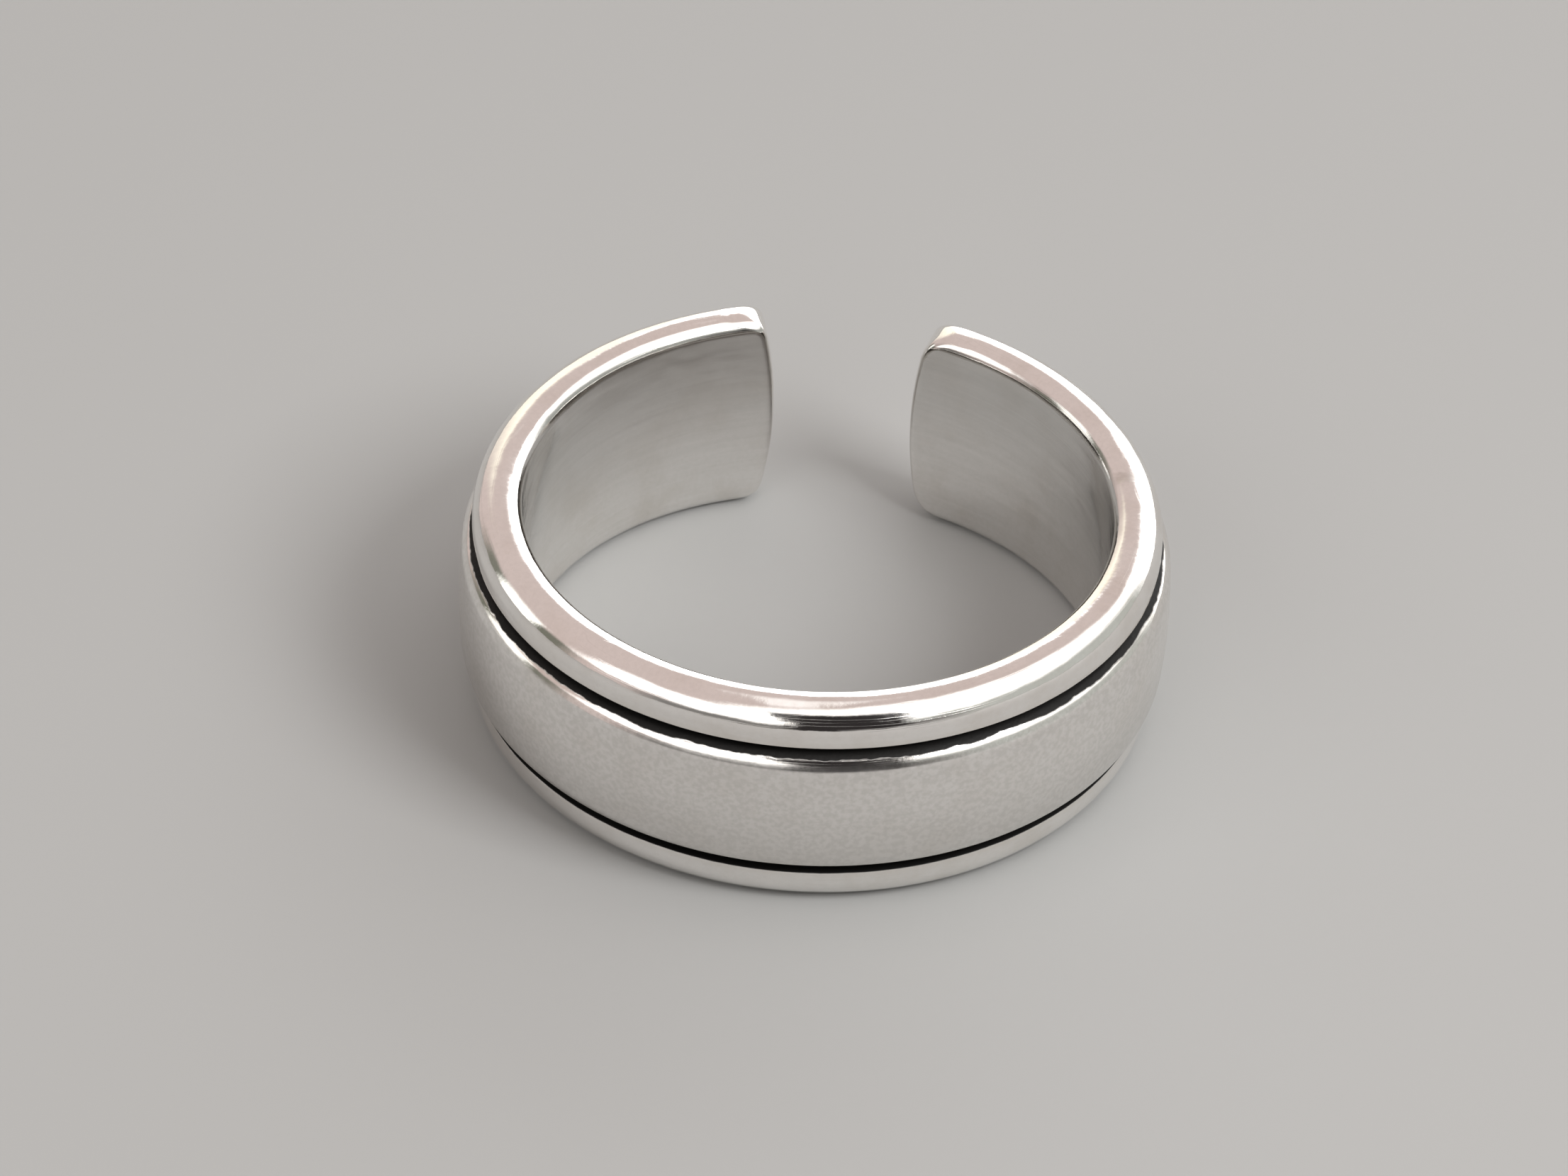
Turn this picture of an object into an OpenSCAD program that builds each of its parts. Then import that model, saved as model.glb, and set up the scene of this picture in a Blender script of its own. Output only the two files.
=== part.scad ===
// Open band ring with a domed face between two rounded rims.
// The ring lies on its side: its axis is +Z, the middle of the domed face
// looks towards -Y and the opening between its two ends is at +Y.
// All sizes are in millimetres.

/* [Ring] */
// Radius of the finger hole
inner_r = 8.5; // [7.5:0.1:11]
// Width of the band, along the ring's axis
band_w = 6.84; // [6.4:0.02:8]
// Rounding between the inner face and each side
inner_round = 0.42; // [0.1:0.01:0.5]

/* [Rims] */
// Thickness of each rim, from the inner face outwards
rim_t = 1.43; // [1.3:0.01:1.5]
// Width of each rim, from the side of the band to its groove
rim_w = 1.16; // [0.95:0.01:1.3]
// Rounding of each rim's outer edge
rim_round = 0.8; // [0.5:0.01:0.85]

/* [Grooves] */
// Thickness of the metal left under each groove
groove_floor_t = 0.9; // [0.6:0.01:1]
// Width of each groove at its floor
groove_w = 0.2; // [0.15:0.01:0.4]

/* [Domed face] */
// Thickness of the band at the crown of the dome
dome_t = 1.8; // [1.6:0.01:2]
// Radius of the dome's shoulders, beside the grooves
shoulder_r = 0.6; // [0.3:0.01:0.7]
// Radius of the dome's gentle crown, across the band
crown_r = 18; // [8:0.5:30]

/* [Opening] */
// Angle between the two ends, seen along the axis
gap_deg = 27.4; // [20:0.1:36]
// Rounding of the four corners at the ends, seen from outside
corner_r = 0.95; // [0.6:0.05:1.2]
// Radius of the slight bow of each end
end_bow_r = 14; // [10:1:20]

/* [Hidden] */
$fn = 128;
dome_w = band_w - 2 * (rim_w + groove_w);
outer_r = inner_r + dome_t;
// the box round the ring is centred on the origin: its back stops at the ends
axis_y = outer_r * (1 - cos(gap_deg / 2)) / 2;
end_reach = 3;      // how far each end's cutter reaches past its end
over = 1;           // how far cutters pass the band

// A crowned block: its crown touches x = 0 and bulges towards +x, its two
// shoulders are round and run smoothly into the crown.
module crowned_block(width, depth, shoulder, crown) {
    lean = asin((width / 2 - shoulder) / (crown - shoulder));
    cx = -crown + (crown - shoulder) * cos(lean);
    yt = crown * sin(lean);
    translate([-depth, -width / 2]) square([depth + cx, width]);
    for (side = [-1, 1])
        translate([cx, side * (width / 2 - shoulder)]) circle(shoulder);
    intersection() {
        translate([-crown, 0]) circle(crown, $fn = 720);
        translate([cx, -yt]) square([-cx + over, 2 * yt]);
    }
}

// One rim: its side lies on y = 0 and its inner face on x = inner_r. Both
// corners of the side are rounded, and the groove starts at y = rim_w.
module rim_section() {
    flat = rim_t - inner_round - rim_round;
    translate([inner_r, inner_round]) square([inner_round, rim_w - inner_round]);
    translate([inner_r + inner_round, 0]) square([flat, rim_w]);
    translate([inner_r + inner_round + flat, rim_round])
        square([rim_round, rim_w - rim_round]);
    translate([inner_r + inner_round, inner_round]) quarter_disc(inner_round, 180);
    translate([inner_r + inner_round + flat, rim_round]) quarter_disc(rim_round, 270);
}

// A quarter of a disc, turned about its centre.
module quarter_disc(r, turn) {
    rotate(turn)
        intersection() {
            circle(r);
            square(r + over);
        }
}

// Section of the band, with x as the radius and y along the axis.
module band_section() {
    translate([inner_r, rim_w]) square([groove_floor_t, band_w - 2 * rim_w]);
    rim_section();
    translate([0, band_w]) mirror([0, 1]) rim_section();
    translate([outer_r, band_w / 2])
        crowned_block(dome_w, dome_t - groove_floor_t / 2, shoulder_r, crown_r);
}

// What is cut away beyond one end, standing on the end's own radial plane:
// x runs into the opening, y along the axis.
module end_cutter() {
    rotate([90, 0, 0])
        linear_extrude(height = outer_r + over)
            difference() {
                translate([-corner_r, -over]) square([end_reach + corner_r, band_w + 2 * over]);
                translate([0, band_w / 2])
                    crowned_block(band_w + 0.1, corner_r + over, corner_r, end_bow_r);
            }
}

module band() {
    color("silver")
        translate([0, axis_y, 0])
            difference() {
                rotate_extrude($fn = 256) band_section();
                for (side = [0, 1])
                    mirror([side, 0, 0])
                        rotate([0, 0, 180 - gap_deg / 2])
                            end_cutter();
            }
}

band();
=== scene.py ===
"""The open band ring: its finished surface, a pale floor, soft studio light and the camera."""
import math

import bmesh
import bpy
import numpy as np
from mathutils import Matrix, Vector


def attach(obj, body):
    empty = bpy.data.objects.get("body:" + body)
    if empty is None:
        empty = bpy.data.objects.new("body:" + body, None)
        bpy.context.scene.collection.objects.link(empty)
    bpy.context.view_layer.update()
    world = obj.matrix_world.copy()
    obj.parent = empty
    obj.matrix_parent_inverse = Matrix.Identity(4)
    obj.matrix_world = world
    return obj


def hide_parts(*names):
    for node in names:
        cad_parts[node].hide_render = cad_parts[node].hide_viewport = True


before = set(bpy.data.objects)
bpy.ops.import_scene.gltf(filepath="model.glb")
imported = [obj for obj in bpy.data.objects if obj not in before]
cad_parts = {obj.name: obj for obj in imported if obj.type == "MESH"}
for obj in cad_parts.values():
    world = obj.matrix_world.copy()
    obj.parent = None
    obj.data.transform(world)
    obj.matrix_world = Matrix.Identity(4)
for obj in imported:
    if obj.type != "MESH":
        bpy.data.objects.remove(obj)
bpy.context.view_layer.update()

# --------------------------------------------------------------------------
# The band's sizes, in millimetres, as the part's own source has them
# --------------------------------------------------------------------------
INNER_R = 8.5
BAND_W = 6.84
RIM_T, RIM_W = 1.43, 1.16
FLOOR_T, GROOVE_W = 0.9, 0.2
DOME_T, SHOULDER_R, CROWN_R = 1.8, 0.6, 18.0
GAP_DEG = 27.4
CORNER_R, BOW_R = 0.95, 14.0
WORN_CORNER_R = 1.25  # the right end's corners are worn rounder
OUTER_R = INNER_R + DOME_T
AXIS_Y = OUTER_R * (1 - math.cos(math.radians(GAP_DEG / 2))) / 2
END_ROUND = 0.24      # the worn edge all round each end
LIP = 0.05            # the broken edge of each rim beside its groove
# wear crowns each side a little: the edges' radius, the crown's radius, and how
# far the crown leans inwards and outwards, in degrees
EDGE_R, SIDE_R, LEAN_IN, LEAN_OUT = 0.44, 1.1, 14.0, 6.0


def arc(cx, cy, r, a0, a1, n):
    """n + 1 points of an arc, angles in degrees."""
    a = np.radians(np.linspace(a0, a1, n + 1))
    return np.stack([cx + r * np.cos(a), cy + r * np.sin(a)], -1)


def crown(width, shoulder, radius):
    """Where a crowned block's shoulder circle sits, and how far round it runs:
    centre x (the crown touches x = 0), centre height and angle."""
    lean = math.asin((width / 2 - shoulder) / (radius - shoulder))
    return -radius + (radius - shoulder) * math.cos(lean), width / 2 - shoulder, math.degrees(lean)


def line(a, b, n):
    return np.linspace(np.array(a, float), np.array(b, float), n + 1)


def inner_at(s):
    """The point of the inside a length s along it from where the crown of the
    lower side ends."""
    lean = math.radians(LEAN_IN)
    quarter = EDGE_R * (math.pi / 2 - lean)
    cy = SIDE_R - (SIDE_R - EDGE_R) * math.cos(lean)
    s = np.asarray(s, float)
    a = -math.pi / 2 - lean - np.minimum(s, quarter) / EDGE_R
    x = INNER_R + EDGE_R + EDGE_R * np.cos(a)
    y = cy + EDGE_R * np.sin(a) + np.maximum(s - quarter, 0)
    return np.stack([x, y], -1)


def section():
    """The outside and the inside of the section, each from where the lower
    side's crown ends, inside, up to the same place of the upper side, with as
    many points on one as on the other. Columns are radius and height."""
    inwards, outwards = math.radians(LEAN_IN), math.radians(LEAN_OUT)
    xr = INNER_R + RIM_T
    side_x = INNER_R + EDGE_R + (SIDE_R - EDGE_R) * math.sin(inwards)
    round_r = (xr - side_x - SIDE_R * math.sin(outwards)) / (1 - math.sin(outwards))
    round_x = side_x + (SIDE_R - round_r) * math.sin(outwards)
    round_y = SIDE_R - (SIDE_R - round_r) * math.cos(outwards)
    xf = INNER_R + FLOOR_T
    dome_w = BAND_W - 2 * (RIM_W + GROOVE_W)
    cx, cy, lean = crown(dome_w, SHOULDER_R, CROWN_R)
    sx, sy = OUTER_R + cx, BAND_W / 2 - cy
    low = BAND_W / 2 - dome_w / 2
    f = 0.07                      # the groove's own soft corners
    # length along the inside less height
    rise = EDGE_R * (math.pi / 2 - inwards) - SIDE_R + (SIDE_R - EDGE_R) * math.cos(inwards)
    # each stretch of the outside, and the height up the inside that faces its end
    parts = [
        (arc(side_x, SIDE_R, SIDE_R, -90 - LEAN_IN, -90 + LEAN_OUT, 5), 0.12 - rise),
        (arc(round_x, round_y, round_r, -90 + LEAN_OUT, 0, 16), 0.88),
        (line((xr, round_y), (xr, RIM_W - LIP), 2), 1.02),
        (arc(xr - LIP, RIM_W - LIP, LIP, 0, 90, 4), 1.05),
        (line((xr - LIP, RIM_W), (xf + f, RIM_W), 3), 1.12),
        (arc(xf + f, RIM_W + f, f, 270, 180, 2), 1.19),
        (line((xf, RIM_W + f), (xf, low - f), 1), 1.29),
        (arc(xf + f, low - f, f, 180, 90, 2), 1.35),
        (line((xf + f, low), (sx, low), 1), 1.39),
        (arc(sx, sy, SHOULDER_R, -90, -lean, 13), 2.00),
        (arc(OUTER_R - CROWN_R, BAND_W / 2, CROWN_R, -lean, 0, 8), BAND_W / 2),
    ]
    outer, along = [parts[0][0][:1]], [np.zeros(1)]
    start = 0.0
    for pts, height in parts:
        outer.append(pts[1:])
        stop = height + rise
        along.append(np.linspace(start, stop, len(pts))[1:])
        start = stop
    outer = np.concatenate(outer)
    inner = inner_at(np.concatenate(along))
    return mirrored(outer), mirrored(inner)


def mirrored(half):
    top = half[::-1][1:].copy()
    top[:, 1] = BAND_W - top[:, 1]
    return np.concatenate([half, top])


OUTER, INNER = section()
LOOP = np.concatenate([OUTER, INNER[::-1][1:-1]])


def tip_outline(corner_r):
    """One end seen square on: x runs into the opening, y is the height. Away
    from the end the outline leaves the band, so that only the end is rounded."""
    w = BAND_W + 0.1
    cx, cy, lean = crown(w, corner_r, BOW_R)
    m = BAND_W / 2
    low = m - w / 2
    half = np.concatenate([
        np.array([(-6.0, low - 2.6), (cx - 0.9, low - 0.5), (cx - 0.5, low - 0.17),
                  (cx - 0.2, low - 0.03), (cx, low)]),
        arc(cx, m - cy, corner_r, -90, -lean, 24)[1:],
        arc(-BOW_R, m, BOW_R, -lean, 0, 16)[1:],
    ])
    return mirrored(half)


TIPS = {-1: tip_outline(CORNER_R), 1: tip_outline(WORN_CORNER_R)}


def signed(points, loop):
    """Signed distance of 2-D points to a closed outline, negative inside."""
    a = loop
    b = np.roll(loop, -1, 0)
    ab = b - a
    ap = points[:, None, :] - a[None]
    t = np.clip((ap * ab).sum(-1) / np.maximum((ab * ab).sum(-1), 1e-18), 0, 1)
    d = np.sqrt(((ap - t[..., None] * ab) ** 2).sum(-1)).min(1)
    y = points[:, 1:2]
    crosses = (a[None, :, 1] > y) != (b[None, :, 1] > y)
    rise = np.where(ab[:, 1] == 0, 1.0, ab[:, 1])
    x = a[None, :, 0] + (y - a[None, :, 1]) * (ab[:, 0] / rise)[None]
    inside = (crosses & (points[:, 0:1] < x)).sum(1) % 2 == 1
    return np.where(inside, -d, d)


def field(p, tip):
    """Distance to the rounded end of the band. p is in the end's own frame:
    towards the opening, outwards from the axis, up."""
    a = signed(np.stack([np.hypot(p[:, 0], p[:, 1]), p[:, 2]], -1), LOOP)
    b = signed(p[:, [0, 2]], tip)
    r = END_ROUND
    return (np.minimum(np.maximum(a, b) + r, 0)
            + np.hypot(np.maximum(a + r, 0), np.maximum(b + r, 0)) - r)


def outward(p, tip):
    """Which way the surface of the rounded end faces near each point."""
    h = 1e-4
    return np.stack([(field(p + h * e, tip) - field(p - h * e, tip)) / (2 * h) for e in np.eye(3)], -1)


def settled(p, tip, steps=5):
    """Points moved onto the surface of the rounded end."""
    for _ in range(steps):
        d = field(p, tip)
        g = outward(p, tip)
        g /= np.maximum((g * g).sum(-1, keepdims=True), 0.3)
        p = p - np.clip(d, -0.25, 0.25)[:, None] * g
    return p


def eased(q, quads, sheet, tip, rounds=40):
    """Points of an end with no face folded over: where one is, its points and
    the next ones are evened out and put back on the surface. quads are the
    end's faces, and sheet says which of them close the end."""
    pairs = np.concatenate([quads[:, [i, (i + 1) % 4]] for i in range(4)])
    pairs = np.unique(np.sort(pairs, axis=1), axis=0)
    pairs = pairs[pairs[:, 0] != pairs[:, 1]]
    used = np.unique(quads)
    way = np.zeros_like(q)
    way[used] = outward(q[used], tip)
    count = np.bincount(pairs.ravel(), minlength=len(q))[:, None]
    sign = None
    for _ in range(rounds):
        c = q[quads]
        turn = np.cross(np.roll(c, -1, 1) - c, np.roll(c, 1, 1) - c)
        facing = way[quads].mean(1)[:, None]
        size = np.linalg.norm(turn, axis=-1) * np.linalg.norm(facing, axis=-1)
        dot = np.where(size > 1e-10, (turn * facing).sum(-1) / np.maximum(size, 1e-10), 0)
        if sign is None:
            sign = np.where(sheet, np.sign(dot[sheet].sum()), np.sign(dot[~sheet].sum()))[:, None]
        bad = (np.where(size > 1e-10, dot * sign, 1) < 0.15).any(1)
        if not bad.any():
            break
        loose = np.unique(quads[bad])
        loose = np.unique(pairs[np.isin(pairs, loose).any(1)])
        total = np.zeros_like(q)
        np.add.at(total, pairs[:, 0], q[pairs[:, 1]])
        np.add.at(total, pairs[:, 1], q[pairs[:, 0]])
        q[loose] = 0.5 * q[loose] + 0.5 * total[loose] / count[loose]
        q[loose] = settled(q[loose], tip, 2)
        way[loose] = outward(q[loose], tip)
    return q


def bow(z, tip):
    """How far short of its own plane an end stops at height z."""
    low = np.minimum(z, BAND_W - z)
    half = tip[(tip[:, 1] <= BAND_W / 2 + 1e-9) & (tip[:, 0] > -5)]
    return -np.interp(low, half[:, 1], half[:, 0])


def build_band():
    """The whole band as one closed mesh, in metres, at its place."""
    n, k = len(LOOP), len(OUTER)
    end = math.radians(180 - GAP_DEG / 2)
    near = end - 2.4 / INNER_R                   # where each end's own stretch starts
    body = np.linspace(-near, near, 281)
    steps = 1 - (1 - np.linspace(0, 1, 27)[1:]) ** 1.6
    stop = {side: end - np.arcsin(bow(LOOP[:, 1], TIPS[side]) / LOOP[:, 0]) for side in TIPS}
    rows = [-(near + (stop[-1] - near) * s) for s in steps[::-1]]
    rows += [np.full(n, a) for a in body]
    rows += [near + (stop[1] - near) * s for s in steps]
    ang = np.array(rows)
    m = len(rows)
    r, z = LOOP[None, :, 0], LOOP[None, :, 1]
    P = np.stack([r * np.sin(ang), -r * np.cos(ang), np.broadcast_to(z, ang.shape)], -1)
    idx = np.arange(m * n).reshape(m, n)
    nxt = np.roll(idx, -1, 1)
    faces = [tuple(q) for q in np.stack([idx[:-1], idx[1:], nxt[1:], nxt[:-1]], -1).reshape(-1, 4)]
    verts = [P.reshape(-1, 3)]
    total = m * n
    share = np.array([0.022, 0.047, 0.077, 0.113, 0.16, 0.23, 0.33, 0.43])
    share = np.concatenate([share, 1 - share[::-1]])
    for row, side in ((0, -1), (m - 1, 1)):
        outer_i = idx[row, :k]
        inner_i = np.concatenate([idx[row, :1], idx[row, k:][::-1], idx[row, k - 1:k]])
        A, B = P.reshape(-1, 3)[outer_i], P.reshape(-1, 3)[inner_i]
        sheet = A[None, 1:-1] * (1 - share[:, None, None]) + B[None, 1:-1] * share[:, None, None]
        own = np.arange(len(share) * (k - 2)).reshape(len(share), k - 2) + total
        total += own.size
        verts.append(sheet.reshape(-1, 3))
        grid = np.concatenate([outer_i[None, 1:-1], own, inner_i[None, 1:-1]])
        for g0, g1 in zip(grid[:-1], grid[1:]):
            faces += [(int(a), int(b), int(c), int(d)) for a, b, c, d in zip(g0[:-1], g0[1:], g1[1:], g1[:-1])]
            faces.append((int(outer_i[0]), int(g0[0]), int(g1[0])))
            faces.append((int(outer_i[-1]), int(g1[-1]), int(g0[-1])))
    V = np.concatenate(verts)
    quads = np.array([f if len(f) == 4 else f + f[:1] for f in faces])
    sheet = np.arange(len(quads)) >= (m - 1) * n
    # both ends: every point within reach of the end is moved onto its rounded surface
    for side in (-1, 1):
        out = np.array([side * math.sin(end), -math.cos(end), 0.0])
        into = np.array([side * math.cos(end), math.sin(end), 0.0])
        q = np.stack([V @ into, V @ out, V[:, 2]], -1)
        pick = (np.abs(q[:, 0] + 0.8) < 1.35) & (q[:, 1] > 6)
        q[pick] = settled(q[pick], TIPS[side])
        whole = pick[quads].all(1)
        q = eased(q, quads[whole], sheet[whole], TIPS[side])
        s = q[pick]
        V[pick] = s[:, :1] * into + s[:, 1:2] * out + s[:, 2:] * np.array([0, 0, 1.0])
    V = V + np.array([0, AXIS_Y, 0])
    me = bpy.data.meshes.new("band_surface")
    me.from_pydata((V / 1000).tolist(), [], faces)
    me.validate()
    bm = bmesh.new()
    bm.from_mesh(me)
    bmesh.ops.recalc_face_normals(bm, faces=bm.faces)
    bm.to_mesh(me)
    bm.free()
    for poly in me.polygons:
        poly.use_smooth = True
    ob = bpy.data.objects.new("band_surface", me)
    bpy.context.scene.collection.objects.link(ob)
    return ob


band = build_band()
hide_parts("band")
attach(band, "root")


# --------------------------------------------------------------------------
# Camera
# --------------------------------------------------------------------------
def add_camera():
    az, el, roll = math.radians(4.22), math.radians(38.63), math.radians(2.592)
    target = Vector((-0.9311, 0.6938 + AXIS_Y, 2.7848)) / 1000
    back = Vector((math.sin(az) * math.cos(el), -math.cos(az) * math.cos(el), math.sin(el)))
    right = Vector((math.cos(az), math.sin(az), 0))
    up = back.cross(right)
    x = right * math.cos(roll) + up * math.sin(roll)
    y = -right * math.sin(roll) + up * math.cos(roll)
    data = bpy.data.cameras.new("camera")
    data.sensor_width = 36.0
    data.lens = 9000.0 / 2212.0 * 36.0
    data.clip_start = 0.005
    data.clip_end = 20.0
    cam = bpy.data.objects.new("camera", data)
    rot = Matrix((x, y, back)).transposed().to_4x4()
    cam.matrix_world = Matrix.Translation(target + back * 0.18603) @ rot
    bpy.context.scene.collection.objects.link(cam)
    bpy.context.scene.camera = cam
    return cam


camera = add_camera()


# --------------------------------------------------------------------------
# Materials
# --------------------------------------------------------------------------
class Nodes:
    """Short ways to build a node tree."""

    def __init__(self, tree):
        self.tree = tree

    def add(self, kind, **settings):
        n = self.tree.nodes.new(kind)
        for key, value in settings.items():
            setattr(n, key, value)
        return n

    def put(self, socket, value):
        if isinstance(value, bpy.types.NodeSocket):
            self.tree.links.new(value, socket)
        else:
            socket.default_value = value

    def math(self, op, *args, clamp=False):
        n = self.add("ShaderNodeMath", operation=op, use_clamp=clamp)
        for socket, value in zip(n.inputs, args):
            self.put(socket, value)
        return n.outputs[0]

    def vector(self, op, *args):
        n = self.add("ShaderNodeVectorMath", operation=op)
        for socket, value in zip(n.inputs, args):
            self.put(socket, value)
        return n.outputs[0]

    def combine(self, x, y, z):
        n = self.add("ShaderNodeCombineXYZ")
        for socket, value in zip(n.inputs, (x, y, z)):
            self.put(socket, value)
        return n.outputs[0]

    def step(self, value, low, high, to_low=0.0, to_high=1.0):
        """A soft step of value between low and high."""
        n = self.add("ShaderNodeMapRange", interpolation_type="SMOOTHSTEP", clamp=True)
        for name, v in (("Value", value), ("From Min", low), ("From Max", high),
                        ("To Min", to_low), ("To Max", to_high)):
            self.put(n.inputs[name], v)
        return n.outputs[0]

    def noise(self, where, scale, detail=2.0, rough=0.5, twist=0.0):
        n = self.add("ShaderNodeTexNoise")
        for name, v in (("Vector", where), ("Scale", scale), ("Detail", detail),
                        ("Roughness", rough), ("Distortion", twist)):
            self.put(n.inputs[name], v)
        return n.outputs[0]

    def mix(self, share, a, b):
        n = self.add("ShaderNodeMix", data_type="RGBA")
        self.put(n.inputs[0], share)
        self.put(n.inputs[6], a)
        self.put(n.inputs[7], b)
        return n.outputs[2]

    def blend(self, share, a, b):
        n = self.add("ShaderNodeMix", data_type="FLOAT")
        for socket, value in zip((n.inputs[0], n.inputs[2], n.inputs[3]), (share, a, b)):
            self.put(socket, value)
        return n.outputs[0]

    def lean(self, where, angle, along, across, shift=0.0):
        """Coordinates turned by an angle in the surface and stretched."""
        n = self.add("ShaderNodeMapping")
        self.put(n.inputs["Vector"], where)
        n.inputs["Location"].default_value = (shift, 0.7 * shift, 0.3 * shift)
        n.inputs["Rotation"].default_value = (0, 0, math.radians(angle))
        n.inputs["Scale"].default_value = (along, across, 1.0)
        return n.outputs[0]

    def hairlines(self, where, angle, along, across, width, keep, shift):
        """Fine broken lines in one direction: where a stretched noise passes its middle."""
        n = self.noise(self.lean(where, angle, along, across, shift), 1.0, 1.0)
        off = self.math("ABSOLUTE", self.math("SUBTRACT", n, 0.5))
        thin = self.step(off, 0.0, width, 1.0, 0.0)
        some = self.noise(self.lean(where, angle, along * 1.7, 0.9, shift + 5), 1.0, 1.0)
        return self.math("MULTIPLY", thin, self.step(some, keep, keep + 0.08))


def silver():
    """Polished silver with wear: grooves blackened up onto the dome's shoulders,
    fine hairlines, uneven shine, a soft waviness and a thin tarnish. Shade is
    painted in too: the dome darkens towards its bottom, and the tarnished inside
    towards its top, with painted streaked reflections."""
    mat = bpy.data.materials.new("silver")
    mat.use_nodes = True
    tree = mat.node_tree
    k = Nodes(tree)
    p = tree.nodes["Principled BSDF"]
    mm = k.vector("SCALE", k.add("ShaderNodeTexCoord").outputs["Object"])
    mm.node.inputs["Scale"].default_value = 1000.0
    xyz = k.add("ShaderNodeSeparateXYZ")
    k.put(xyz.inputs[0], mm)
    x, y, z = xyz.outputs
    back = k.math("SUBTRACT", y, AXIS_Y)
    r = k.math("SQRT", k.math("ADD", k.math("MULTIPLY", x, x), k.math("MULTIPLY", back, back)))
    turn = k.math("ARCTAN2", x, k.math("MULTIPLY", back, -1.0))
    along = k.math("MULTIPLY", turn, 9.6)
    flat = k.combine(along, z, r)                 # unrolled: along the band, up, out
    half = BAND_W / 2
    low = k.math("SUBTRACT", half, k.math("ABSOLUTE", k.math("SUBTRACT", z, half)))
    outside = k.step(r, 9.0, 9.1)
    inside = k.step(r, 8.56, 8.66, 1.0, 0.0)
    on_dome = k.math("MULTIPLY", k.step(low, 1.5, 1.7), outside)

    # the blackened grooves, with ragged edges
    long_edge = k.noise(k.lean(flat, 0, 0.7, 1.5), 1.0, 3.0, 0.6)
    fine_edge = k.noise(flat, 5.0, 2.0)
    ragged = k.math("ADD", k.math("MULTIPLY", k.math("SUBTRACT", long_edge, 0.5), 0.15),
                    k.math("MULTIPLY", k.math("SUBTRACT", fine_edge, 0.5), 0.035))
    top_edge = k.step(k.math("ADD", low, ragged), 1.475, 1.505, 1.0, 0.0)
    rim_edge = k.step(k.math("ADD", low, k.math("MULTIPLY", ragged, 0.12)),
                      RIM_W - 0.035, RIM_W - 0.01)
    black = k.math("MULTIPLY", k.math("MULTIPLY", top_edge, rim_edge), outside)

    # wear
    circling = k.hairlines(flat, 2, 0.10, 9.0, 0.020, 0.50, 0.0)
    slanted = k.hairlines(flat, 33, 0.22, 5.0, 0.014, 0.56, 11.0)
    crossed = k.hairlines(flat, -52, 0.25, 4.0, 0.012, 0.58, 23.0)
    steep = k.hairlines(flat, 81, 0.30, 3.5, 0.012, 0.60, 37.0)
    lines = k.math("ADD", k.math("ADD", circling, slanted), k.math("ADD", crossed, steep), clamp=True)
    speckle = k.noise(flat, 7.0, 3.0, 0.6)
    cloudy = k.noise(flat, 0.55, 3.0, 0.55)
    patches = k.noise(k.lean(flat, 0, 0.5, 1.6, 3.0), 1.0, 3.0, 0.6)

    # colour
    tarnish = k.step(cloudy, 0.42, 0.78, 0.0, 0.5)
    tarnish = k.math("ADD", tarnish, k.math("MULTIPLY", k.step(speckle, 0.52, 0.72), 0.12))
    by_groove = k.math("MULTIPLY", k.math("MULTIPLY", k.step(low, 0.9, 1.1), k.step(low, 1.5, 1.75, 1.0, 0.0)),
                       outside)
    tarnish = k.math("ADD", tarnish, k.math("MULTIPLY", by_groove, 0.25), clamp=True)
    metal = k.mix(tarnish, (0.93, 0.91, 0.885, 1), (0.76, 0.715, 0.66, 1))
    metal = k.mix(k.math("MULTIPLY", on_dome, 0.3), metal, (0.80, 0.785, 0.76, 1))
    metal = k.mix(k.math("MULTIPLY", lines, 0.25), metal, (0.78, 0.75, 0.71, 1))
    mottle = k.noise(flat, 6.5, 2.0, 0.55)
    metal = k.mix(k.math("MULTIPLY", k.step(mottle, 0.36, 0.64), k.blend(on_dome, 0.08, 0.36)), metal,
                  (0.61, 0.595, 0.57, 1))
    # painted shade: the dome is darkened towards its bottom, standing in for the shadowed floor close to the ring
    # that its lower part reflects
    metal = k.mix(k.math("MULTIPLY", k.step(z, 4.2, 1.6), k.math("MULTIPLY", on_dome, 0.34)), metal,
                  (0.48, 0.465, 0.44, 1))
    # tarnish and painted shade on the inside: the inside is darkened, partly as tarnish and partly as painted shade,
    # more towards its top, with streaks along the band as painted streaked reflections
    streaks = k.noise(k.lean(flat, 1, 0.16, 4.5, 29.0), 1.0, 3.0, 0.6, 0.4)
    tarnish_and_painted_shade = k.math("ADD", k.step(z, 0.8, 6.2, 0.12, 0.64), k.math("MULTIPLY", k.math("SUBTRACT", streaks, 0.5), 0.28))
    metal = k.mix(k.math("MULTIPLY", tarnish_and_painted_shade, inside, clamp=True), metal, (0.46, 0.45, 0.43, 1))
    # a rubbed dull smudge across the upper rim, on the right
    beside = k.math("ABSOLUTE", k.math("SUBTRACT", along, 17.45))
    beside = k.math("ADD", beside, k.math("MULTIPLY", k.math("SUBTRACT", fine_edge, 0.5), 0.5))
    smudge = k.math("MULTIPLY", k.step(beside, 0.05, 0.42, 1.0, 0.0), k.step(z, BAND_W - 0.3, BAND_W - 0.05))
    smudge = k.math("MULTIPLY", smudge, k.step(r, 8.55, 8.75))
    metal = k.mix(k.math("MULTIPLY", smudge, 0.55), metal, (0.52, 0.48, 0.44, 1))
    k.put(p.inputs["Base Color"], k.mix(black, metal, (0.008, 0.0075, 0.007, 1)))
    k.put(p.inputs["Metallic"], k.math("SUBTRACT", 1.0, black))
    p.inputs["Specular IOR Level"].default_value = 0.15

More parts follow.
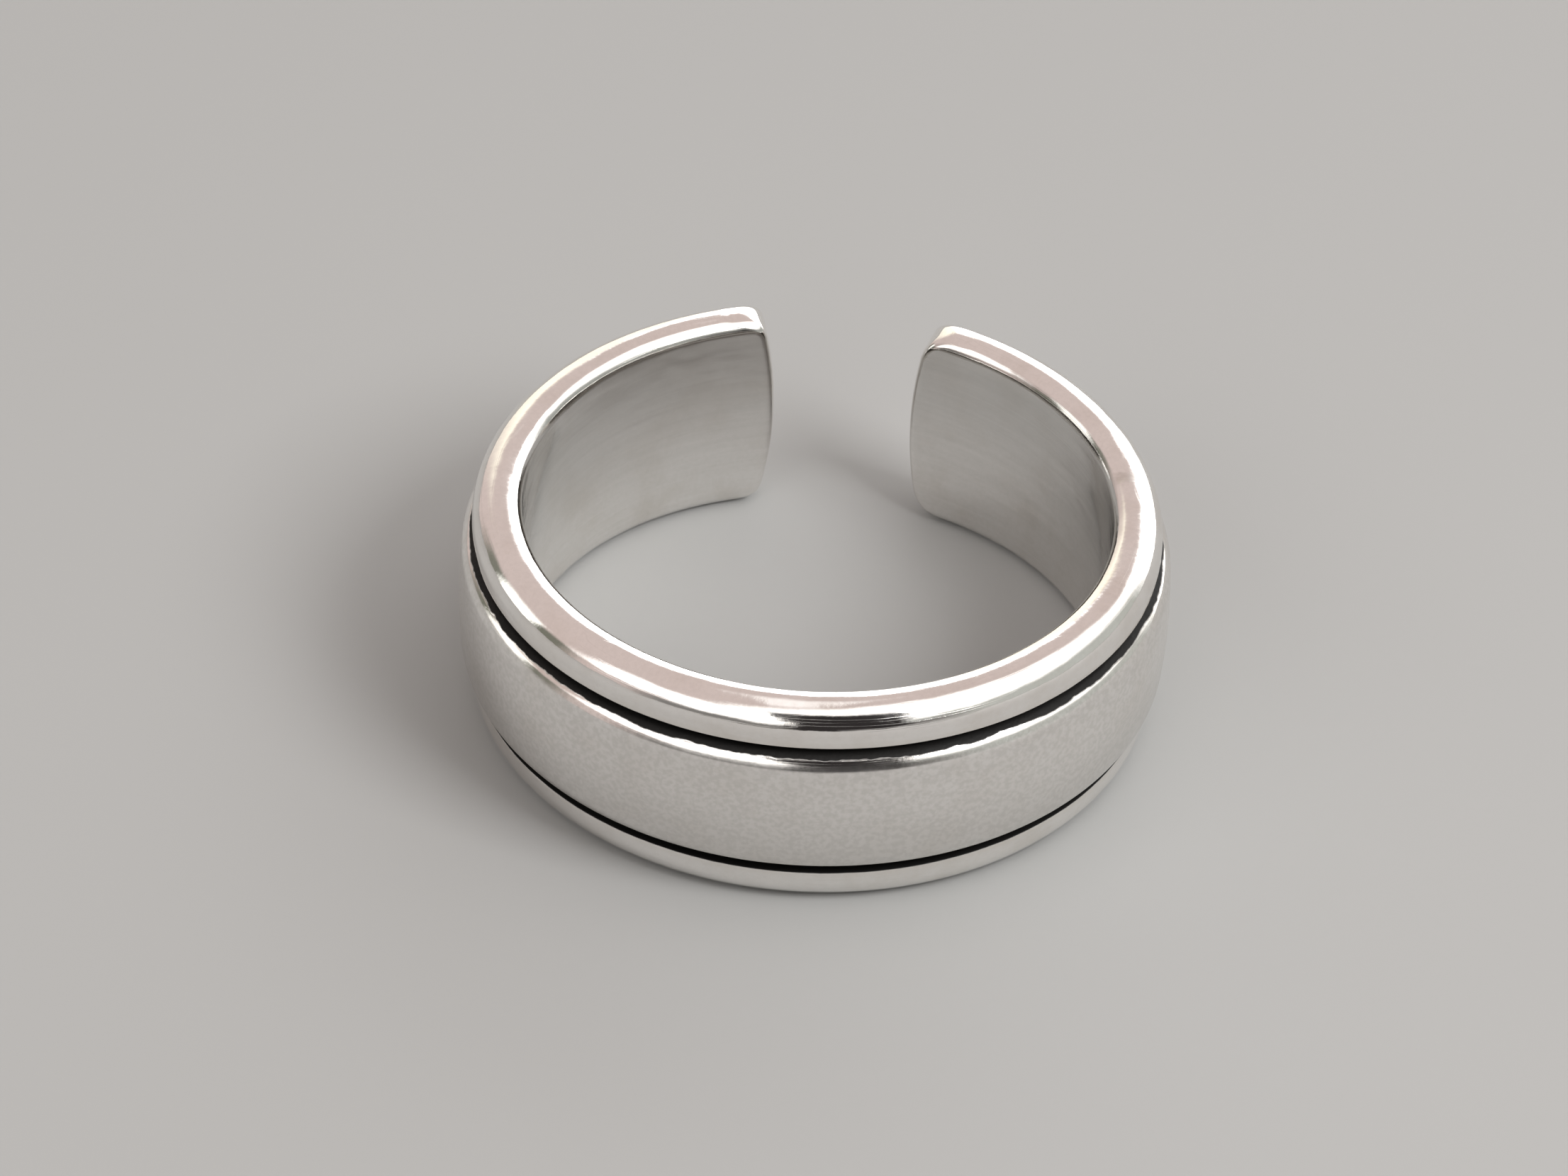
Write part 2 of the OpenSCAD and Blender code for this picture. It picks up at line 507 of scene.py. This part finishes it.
    # shine
    base = k.blend(on_dome, k.blend(inside, 0.07, 0.085), 0.17)
    uneven = k.math("MULTIPLY", k.step(patches, 0.35, 0.70), k.blend(on_dome, 0.03, 0.06))
    dull = k.math("ADD", k.math("ADD", base, uneven), k.math("MULTIPLY", k.math("SUBTRACT", speckle, 0.5), 0.05))
    dull = k.math("ADD", dull, k.math("MULTIPLY", lines, k.blend(on_dome, 0.08, 0.02)))
    dull = k.math("ADD", dull, k.math("MULTIPLY", smudge, 0.10))
    k.put(p.inputs["Roughness"], k.blend(black, dull, 0.55))

    # relief: a long waviness, hairlines and a fine grain, as heights in millimetres
    wave = k.noise(k.lean(flat, 0, 0.42, 1.3, 7.0), 1.0, 1.5, 0.5)
    dents = k.noise(k.lean(flat, 0, 1.3, 2.6, 17.0), 1.0, 1.0, 0.4)
    height = k.math("MULTIPLY", wave, k.blend(on_dome, 0.030, 0.012))
    height = k.math("ADD", height, k.math("MULTIPLY", dents, k.blend(on_dome, 0.008, 0.003)))
    height = k.math("SUBTRACT", height, k.math("MULTIPLY", lines, k.blend(on_dome, 0.0007, 0.0003)))
    height = k.math("ADD", height, k.math("MULTIPLY", speckle, 0.0016))
    height = k.math("ADD", height, k.math("MULTIPLY", k.math("MULTIPLY", fine_edge, black), 0.02))
    bump = k.add("ShaderNodeBump")
    bump.inputs["Strength"].default_value = 1.0
    bump.inputs["Distance"].default_value = 0.001
    k.put(bump.inputs["Height"], height)
    k.put(p.inputs["Normal"], bump.outputs[0])
    return mat


band.data.materials.append(silver())


# --------------------------------------------------------------------------
# Floor and light
# --------------------------------------------------------------------------
def add_floor():
    bpy.ops.mesh.primitive_plane_add(size=4, location=(0, 0, 0))
    floor = bpy.context.object
    floor.name = "floor"
    mat = bpy.data.materials.new("floor")
    mat.use_nodes = True
    p = mat.node_tree.nodes["Principled BSDF"]
    p.inputs["Base Color"].default_value = (0.31, 0.31, 0.305, 1)
    p.inputs["Roughness"].default_value = 0.85
    p.inputs["Specular IOR Level"].default_value = 0.1
    floor.data.materials.append(mat)
    return floor


def add_area(name, way, distance, size, power, colour=(1, 1, 1)):
    """A softbox that looks at the ring from a direction."""
    way = Vector(way).normalized()
    data = bpy.data.lights.new(name, "AREA")
    data.shape = "RECTANGLE"
    data.size, data.size_y = size
    data.energy = power
    data.color = colour
    ob = bpy.data.objects.new(name, data)
    ob.location = way * distance
    ob.rotation_euler = (-way).to_track_quat("-Z", "Y").to_euler()
    bpy.context.scene.collection.objects.link(ob)
    return ob


def add_world():
    """A light room. The top is soft and a little warm, brighter towards the
    right and the front. Behind the ring is a white window with a creamier wall
    beside it, and another window is at the front left. The left has darker
    things low down, the right is greyer low down, and the dim shape of someone
    stands in front of the ring."""
    world = bpy.data.worlds.new("world")
    bpy.context.scene.world = world
    world.use_nodes = True
    tree = world.node_tree
    k = Nodes(tree)
    bg = tree.nodes["Background"]
    xyz = k.add("ShaderNodeSeparateXYZ")
    k.put(xyz.inputs[0], k.add("ShaderNodeTexCoord").outputs["Generated"])
    x, y, z = xyz.outputs
    turn = k.math("MULTIPLY", k.math("ARCTAN2", x, y), 180 / math.pi)   # 0 behind the ring, + to its right
    around = k.math("ABSOLUTE", turn)

    def between(value, start, full, until, gone):
        return k.math("MULTIPLY", k.step(value, start, full), k.step(value, until, gone, 1.0, 0.0))

    def below(height, soft):
        return k.step(z, height - soft, height + soft, 1.0, 0.0)

    # the top
    aside = k.math("SUBTRACT", k.math("MULTIPLY", x, 0.77), k.math("MULTIPLY", y, 0.64))
    light = k.mix(k.step(aside, -0.05, 0.18), (0.65, 0.545, 0.515, 1), (1.7, 1.66, 1.62, 1))
    # a softer light patch overhead, in line with the ring's face
    patch = k.math("MULTIPLY", k.step(k.math("ABSOLUTE", k.math("ADD", x, 0.04)), 0.02, 0.09, 1.0, 0.0),
                   k.step(y, -0.15, 0.15))
    patch = k.math("MULTIPLY", patch, k.step(z, 0.76, 0.90))
    light = k.mix(patch, light, (1.15, 1.08, 1.05, 1))
    # low on the right
    grey = k.math("MULTIPLY", between(turn, 46, 60, 150, 170), below(0.42, 0.12))
    light = k.mix(grey, light, (0.52, 0.53, 0.50, 1))
    # behind: the window, and the creamier wall to its left
    wall = k.math("MULTIPLY", between(turn, -44, -16, -12, -4), below(0.50, 0.07))
    light = k.mix(wall, light, (1.35, 1.27, 1.08, 1))
    window = k.math("MULTIPLY", between(turn, -12, -4, 36, 56),
                    k.step(k.math("SUBTRACT", z, k.math("MULTIPLY", turn, 0.0018)), 0.50, 0.585, 1.0, 0.0))
    light = k.mix(window, light, (2.7, 2.7, 2.7, 1))
    # darker things low on the left, with a bright gap between them
    dark = k.math("MULTIPLY", between(turn, -114, -100, -66, -48), below(0.36, 0.09))
    light = k.mix(dark, light, (0.20, 0.20, 0.165, 1))
    gap = k.math("MULTIPLY", between(turn, -93, -88, -76, -68), below(0.42, 0.08))
    light = k.mix(gap, light, (1.7, 1.68, 1.6, 1))
    # the window at the front left
    left = k.math("MULTIPLY", between(turn, -181, -180, -118, -100), between(z, 0.26, 0.44, 0.72, 0.86))
    light = k.mix(left, light, (2.3, 2.25, 2.2, 1))
    low = k.math("MULTIPLY", k.step(around, 120, 140), below(0.27, 0.10))
    light = k.mix(low, light, (0.22, 0.21, 0.20, 1))
    # someone in front
    c, s = math.cos(math.radians(16)), math.sin(math.radians(16))
    across = k.math("ADD", k.math("MULTIPLY", x, c), k.math("MULTIPLY", y, s))
    folds = k.noise(k.combine(x, y, z), 7.0, 3.0, 0.6)
    across = k.math("ADD", across, k.math("MULTIPLY", k.math("SUBTRACT", folds, 0.5), 0.22))
    ahead = k.math("SUBTRACT", k.math("MULTIPLY", x, s), k.math("MULTIPLY", y, c))
    someone = k.math("MULTIPLY", k.step(k.math("ABSOLUTE", across), 0.24, 0.34, 1.0, 0.0), k.step(ahead, 0.38, 0.56))
    light = k.mix(someone, light, (0.03, 0.027, 0.027, 1))
    k.put(bg.inputs[0], light)
    bg.inputs[1].default_value = 1.0
    return world


floor = add_floor()
lights = [
    add_area("key", (0.624, -0.332, 0.707), 0.35, (0.15, 0.15), 0.9),
]
world = add_world()
bpy.context.scene.view_settings.view_transform = "Standard"
